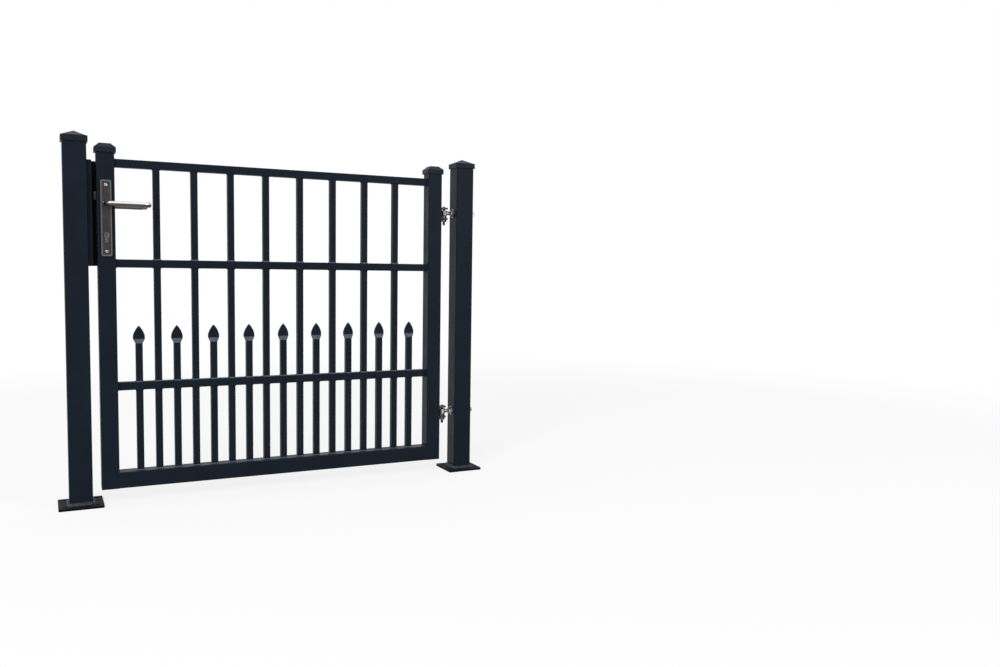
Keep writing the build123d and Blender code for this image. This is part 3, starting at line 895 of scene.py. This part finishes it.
class GATE_OT_feet(bpy.types.Operator):
    """Zinc base plates with the welds that hold the posts on them"""

    bl_idname = "gate.feet"
    bl_label = "Base plates"

    def execute(self, context):
        sizes = fittings()
        for number, side in enumerate(("hinge", "latch")):
            plate = f"{side}_post_base_plate"
            place_piece(eased(plate, sizes.eased_edge), f"{plate}_eased", "zinc_dull",
                        "posts", [plate])
            low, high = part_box(f"{side}_post")
            weld = bead(high.x - low.x, high.y - low.y, corner=0.004, leg=sizes.foot_weld,
                        seed=FOOT_WELD_SEED + number, segments=160)
            moved(weld, Matrix.Translation(((low.x + high.x) / 2, 0, low.z)))
            place_piece(weld, f"{side}_post_foot_weld", "zinc_weld", "posts", smooth=60)
        return {"FINISHED"}


class GATE_OT_caps(bpy.types.Operator):
    """Moulded caps on the posts and stiles"""

    bl_idname = "gate.caps"
    bl_label = "Caps"

    def execute(self, context):
        sizes = fittings()
        for name, body in (("hinge_post_cap", "posts"), ("latch_post_cap", "posts"),
                           ("hinge_stile_cap", "leaf"), ("latch_stile_cap", "leaf")):
            place_piece(eased(name, sizes.cap_edge, sharp=8, segments=3), f"{name}_moulded", "cap_moulded",
                        body, [name])
        self.plug()
        return {"FINISHED"}

    def plug(self):
        """The small plug in the skirt of the latch post's cap, a little to the right of its middle."""
        diameter = fittings().cap_plug
        to_right = 0.004
        up_skirt = 0.0068
        low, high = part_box("latch_post_cap")
        plug = socket_screw(diameter, height=0.0014, key=diameter * 0.4)
        moved(plug, facing(FRONT, ((low.x + high.x) / 2 + to_right, low.y, low.z + up_skirt)))
        place_piece(plug, "latch_post_cap_plug", "rubber_black", "posts")


class GATE_OT_hinges(bpy.types.Operator):
    """Eyebolts, forks, pins and nuts of both hinges, with their threads"""

    bl_idname = "gate.hinges"
    bl_label = "Hinges"

    def execute(self, context):
        for name in HINGES:
            self.eyebolt(name)
            self.eyebolt_nuts(name)
            self.fork(name)
            self.pin(name)
            self.pin_nuts(name)
        return {"FINISHED"}

    def axis(self, name):
        """How far along X a hinge's pin stands."""
        return middle(f"{name}_hinge_pin").x

    def eyebolt(self, name):
        """A bored eye on a threaded shank, which starts with a plain neck inside the eye."""
        clearance = 0.0003
        radius = 0.007
        depth = 0.0009
        neck_length = 0.004
        into_eye = 0.003
        run_in = 0.003
        run_out = 0.001
        low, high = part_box(f"{name}_eyebolt")
        pin_low, pin_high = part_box(f"{name}_hinge_pin")
        axis = self.axis(name)
        bore = (pin_high.x - pin_low.x) / 2 + clearance
        eye = moved(ring(bore, axis - low.x, low.z, high.z, bevel=0.0012), Matrix.Translation((axis, 0, 0)))
        start = axis - low.x - into_eye
        end = high.x - axis
        shank = rod(radius - depth, start, end, bevel=0.001)
        neck = rod(radius, start, start + neck_length, bevel=0.0008)
        winding = thread(radius - depth, depth, fittings().bolt_pitch, start + run_in, end - run_out)
        along = facing(ALONG, (axis, 0, (low.z + high.z) / 2))
        parts = [eye] + [moved(part, along) for part in (shank, neck, winding)]
        place_piece(joined(parts), f"{name}_eyebolt_threaded", "zinc_plated", "posts",
                    [f"{name}_eyebolt"])

    def eyebolt_nuts(self, name):
        """A washer and a nut on each side of the post."""
        across = 0.022
        nut_bore = 0.0068
        washer_bore = 0.0075
        washer = 0.0025
        low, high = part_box(f"{name}_eyebolt_nuts")
        post_low, post_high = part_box("hinge_post")
        washer_radius = (high.z - low.z) / 2
        height = high.x - post_high.x - washer
        parts = []
        for face, way in ((post_low.x, -ALONG), (post_high.x, ALONG)):
            place = facing(way, (face, 0, (low.z + high.z) / 2))
            parts.append(moved(ring(washer_bore, washer_radius, 0, washer, bevel=0.0004), place))
            on_washer = moved(nut(across, height, nut_bore), Matrix.Translation((0, 0, washer)))
            parts.append(moved(on_washer, place))
        place_piece(joined(parts), f"{name}_eyebolt_nuts_bevelled", "zinc_plated", "posts",
                    [f"{name}_eyebolt_nuts"])

    def fork(self, name):
        """The fork, with the weld that holds it to the stile."""
        node = f"{name}_hinge_fork"
        low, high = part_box(node)
        place_piece(eased(node, fittings().eased_edge), f"{node}_eased", "bolt_oiled", "leaf",
                    [node])
        weld = bead(high.z - low.z, high.y - low.y, corner=0.0008, leg=0.0024, seed=len(name), segments=96)
        moved(weld, facing(ALONG, (low.x, 0, (low.z + high.z) / 2)))
        place_piece(weld, f"{node}_weld", "coat_satin", "leaf", smooth=60)

    def pin(self, name):
        """A threaded pin."""
        depth = 0.0007
        run_in = 0.0006
        low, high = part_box(f"{name}_hinge_pin")
        core = (high.x - low.x) / 2 - depth
        shank = rod(core, low.z, high.z, bevel=0.0008)
        winding = thread(core, depth, fittings().pin_pitch, low.z + run_in, high.z)
        shape = moved(joined([shank, winding]), Matrix.Translation((self.axis(name), 0, 0)))
        place_piece(shape, f"{name}_hinge_pin_threaded", "steel_plated", "leaf",
                    [f"{name}_hinge_pin"])

    def pin_nuts(self, name):
        """The nut inside the fork and the lock nut under it."""
        height = 0.008
        across = 0.017
        bore = 0.0048
        low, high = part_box(f"{name}_hinge_pin_nuts")
        nuts = [moved(nut(across, height, bore), Matrix.Translation((self.axis(name), 0, level)))
                for level in (low.z, high.z - height)]
        place_piece(joined(nuts), f"{name}_hinge_pin_nuts_bevelled", "steel_plated", "leaf",
                    [f"{name}_hinge_pin_nuts"])


class GATE_OT_lock(bpy.types.Operator):
    """Cover plates with their screws, levers, cylinder, latch bolt and front plate"""

    bl_idname = "gate.lock"
    bl_label = "Lock"

    def execute(self, context):
        dress(["lever_spindle", "lock_case"], "steel_plated")
        screws = []
        for side in ("front", "rear"):
            screws += self.cover(side)
            self.lever(side)
        place_piece(joined(screws), "cover_screws", "zinc_plated", "leaf")
        self.cylinder()
        self.front_plate()
        self.latch_bolt()
        self.front_plate_screws()
        return {"FINISHED"}

    def cover(self, side):
        """A cover plate, and the heads of its two screws on the face inside its rim."""
        sizes = fittings()
        recess = 0.0012
        node = f"{side}_lock_cover"
        low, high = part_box(node)
        place_piece(eased(node, radius=0.001, segments=3), f"{node}_eased", "cover_stainless",
                    "leaf", [node])
        way, face = (FRONT, low.y + recess) if side == "front" else (-FRONT, high.y - recess)
        heads = []
        for z in (low.z + sizes.cover_screw_inset, high.z - sizes.cover_screw_inset):
            head = socket_screw(sizes.cover_screw, height=0.0022, key=0.004)
            heads.append(moved(head, facing(way, ((low.x + high.x) / 2, face, z))))
        return heads

    def lever(self, side):
        """A lever with its worn edges rounded."""
        node = f"{side}_lever"
        place_piece(eased(node, radius=0.0012, sharp=50, segments=3), f"{node}_eased", "lever_stainless",
                    "handle", [node], smooth=40)

    def cylinder(self):
        """The profile cylinder with a ring round its plug on both faces."""
        node = "lock_cylinder"
        place_piece(eased(node, radius=0.0004), f"{node}_eased", "nickel_satin", "leaf",
                    [node])
        low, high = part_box(node)
        radius = (high.x - low.x) / 2
        sunk = 0.0002
        rings = []
        for face, way in ((low.y + sunk, FRONT), (high.y - sunk, -FRONT)):
            plug = ring(radius * 0.6, radius * 0.68, start=-0.0004, end=0.0, bevel=0.00015)
            rings.append(moved(plug, facing(way, ((low.x + high.x) / 2, face, high.z - radius))))
        place_piece(joined(rings), "cylinder_plug_rings", "steel_plated", "leaf")

    def front_plate(self):
        """The front plate in the edge of the stile."""
        node = "lock_front_plate"
        place_piece(eased(node, radius=0.0004), f"{node}_eased", "steel_plated", "leaf",
                    [node])

    def latch_bolt(self):
        """The latch bolt, which rides on its own body."""
        node = "latch_bolt"
        place_piece(eased(node, radius=0.0006), f"{node}_eased", "bolt_oiled", "latch", [node])

    def front_plate_screws(self):
        """A screw near each end of the front plate."""
        inset = 0.008
        low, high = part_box("lock_front_plate")
        heads = []
        for z in (low.z + inset, high.z - inset):
            head = socket_screw(fittings().plate_screw, height=0.0006, key=0.003)
            heads.append(moved(head, facing(-ALONG, (low.x, 0, z))))
        place_piece(joined(heads), "front_plate_screws", "nickel_satin", "leaf")


class GATE_OT_keep(bpy.types.Operator):
    """The keep on the latch post, its screws and its rubber buffer"""

    bl_idname = "gate.keep"
    bl_label = "Keep"

    def execute(self, context):
        sizes = fittings()
        sheet = 0.004
        to_rear = 0.009
        place_piece(eased("latch_keep", sizes.eased_edge), "latch_keep_eased", "coat_satin",
                    "posts", ["latch_keep"])
        place_piece(eased("keep_buffer", radius=0.001, segments=3), "keep_buffer_eased", "rubber_black",
                    "posts", ["keep_buffer"])
        low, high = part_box("latch_keep")
        heads = []
        for number in range(sizes.keep_screw_count):
            z = low.z + (high.z - low.z) * (number + 0.5) / sizes.keep_screw_count
            head = socket_screw(sizes.keep_screw, height=0.003, key=0.005)
            heads.append(moved(head, facing(ALONG, (low.x + sheet, to_rear, z))))
        place_piece(joined(heads), "keep_screws", "zinc_plated", "posts")
        return {"FINISHED"}


class GATE_OT_stage(bpy.types.Operator):
    """Pale floor, soft studio light, white surroundings and the camera"""

    bl_idname = "gate.stage"
    bl_label = "Stage"

    def execute(self, context):
        scene = context.scene
        scene.view_settings.view_transform = "Standard"
        self.floor()
        self.world(scene)
        self.lamp("key_lamp", Vector((-4.6, -4.4, 4.2)), stage().key_power)
        self.lamp("fill_lamp", Vector((3.4, -4.8, 2.6)), stage().fill_power)
        self.camera(scene)
        return {"FINISHED"}

    def floor(self):
        """A wide pale disc, which isn't part of the gate."""
        shape = bmesh.new()
        bmesh.ops.create_circle(shape, cap_ends=True, segments=96, radius=stage().floor_size / 2)
        mesh = bpy.data.meshes.new("floor")
        shape.to_mesh(mesh)
        shape.free()
        ground = bpy.data.objects.new("floor", mesh)
        bpy.context.scene.collection.objects.link(ground)
        mesh.materials.append(self.floor_material())

    def floor_material(self):
        """Grey in the light that it throws on the gate, near white to look at, and plain white far out."""
        near, far = 2.0, 4.5
        lit = (0.55, 0.55, 0.55)
        looked_at = (0.95, 0.95, 0.95)
        material = bpy.data.materials.new("pale_floor")
        material.use_nodes = True
        tree = material.node_tree
        tree.nodes.clear()
        place = add_node(tree, "ShaderNodeTexCoord")
        away = add_node(tree, "ShaderNodeVectorMath", {0: place.outputs["Object"]}, operation="LENGTH")
        share = rescale(tree, ramp(tree, away.outputs["Value"], near, far), stage().floor_white, 1.0)
        seen = seen_directly(tree)
        matt = add_node(tree, "ShaderNodeBsdfDiffuse", {"Color": blend_colours(tree, seen, lit, looked_at)})
        white = add_node(tree, "ShaderNodeEmission", {"Color": WHITE, "Strength": 1.0})
        mix = add_node(tree, "ShaderNodeMixShader", {"Fac": calculate(tree, "MULTIPLY", seen, share),
                                                     1: matt.outputs[0], 2: white.outputs[0]})
        add_node(tree, "ShaderNodeOutputMaterial", {"Surface": mix.outputs[0]})
        return material

    def world(self, scene):
        """Even light from all round, and plain white to look at."""
        world = bpy.data.worlds.new("white_room")
        scene.world = world
        world.use_nodes = True
        tree = world.node_tree
        tree.nodes.clear()
        even = add_node(tree, "ShaderNodeBackground", {"Color": WHITE, "Strength": stage().sky})
        white = add_node(tree, "ShaderNodeBackground", {"Color": WHITE, "Strength": 1.0})
        mix = add_node(tree, "ShaderNodeMixShader", {"Fac": seen_directly(tree), 1: even.outputs[0],
                                                     2: white.outputs[0]})
        add_node(tree, "ShaderNodeOutputWorld", {"Surface": mix.outputs[0]})

    def lamp(self, name, place, power):
        """A round soft lamp that points at the middle of the gate."""
        target = Vector((-0.65, 0, 0.5))
        width = 3.0
        data = bpy.data.lights.new(name, "AREA")
        data.shape = "DISK"
        data.size = width
        data.energy = power
        lamp = bpy.data.objects.new(name, data)
        turn = (target - place).to_track_quat("-Z", "Y").to_matrix().to_4x4()
        lamp.matrix_world = Matrix.Translation(place) @ turn
        bpy.context.scene.collection.objects.link(lamp)

    def camera(self, scene):
        settings = stage()
        data = bpy.data.cameras.new("camera")
        data.sensor_width = 36.0
        data.lens = settings.lens
        camera = bpy.data.objects.new("camera", data)
        tilt, roll, turn = settings.camera_turn
        place = Matrix.Translation(settings.camera_place)
        aim = Matrix.Rotation(turn, 4, "Z") @ Matrix.Rotation(math.pi / 2 + tilt, 4, "X")
        camera.matrix_world = place @ aim @ Matrix.Rotation(roll, 4, "Z")
        scene.collection.objects.link(camera)
        scene.camera = camera


class GATE_PT_panel(bpy.types.Panel):
    """The gate's sizes, colours and steps"""

    bl_idname = "GATE_PT_panel"
    bl_label = "Garden gate"
    bl_space_type = "VIEW_3D"
    bl_region_type = "UI"
    bl_category = "Gate"

    def draw(self, context):
        for group in (finish(), fittings(), stage()):
            for field in group.__annotations__:
                self.layout.prop(group, field)
        for step in STEPS:
            self.layout.operator(step.bl_idname)


STEPS = (GATE_OT_finishes, GATE_OT_frame, GATE_OT_feet, GATE_OT_caps, GATE_OT_hinges, GATE_OT_lock,
         GATE_OT_keep, GATE_OT_stage)
CLASSES = (GateFinish, GateFittings, GateStage) + STEPS + (GATE_PT_panel,)


def register():
    for kind in CLASSES:
        bpy.utils.register_class(kind)
    bpy.types.Scene.gate_finish = PointerProperty(type=GateFinish)
    bpy.types.Scene.gate_fittings = PointerProperty(type=GateFittings)
    bpy.types.Scene.gate_stage = PointerProperty(type=GateStage)


def unregister():
    del bpy.types.Scene.gate_finish
    del bpy.types.Scene.gate_fittings
    del bpy.types.Scene.gate_stage
    for kind in reversed(CLASSES):
        bpy.utils.unregister_class(kind)


def main():
    register()
    bpy.ops.gate.finishes()
    bpy.ops.gate.frame()
    bpy.ops.gate.feet()
    bpy.ops.gate.caps()
    bpy.ops.gate.hinges()
    bpy.ops.gate.lock()
    bpy.ops.gate.keep()
    bpy.ops.gate.stage()


if __name__ == "__main__":
    main()
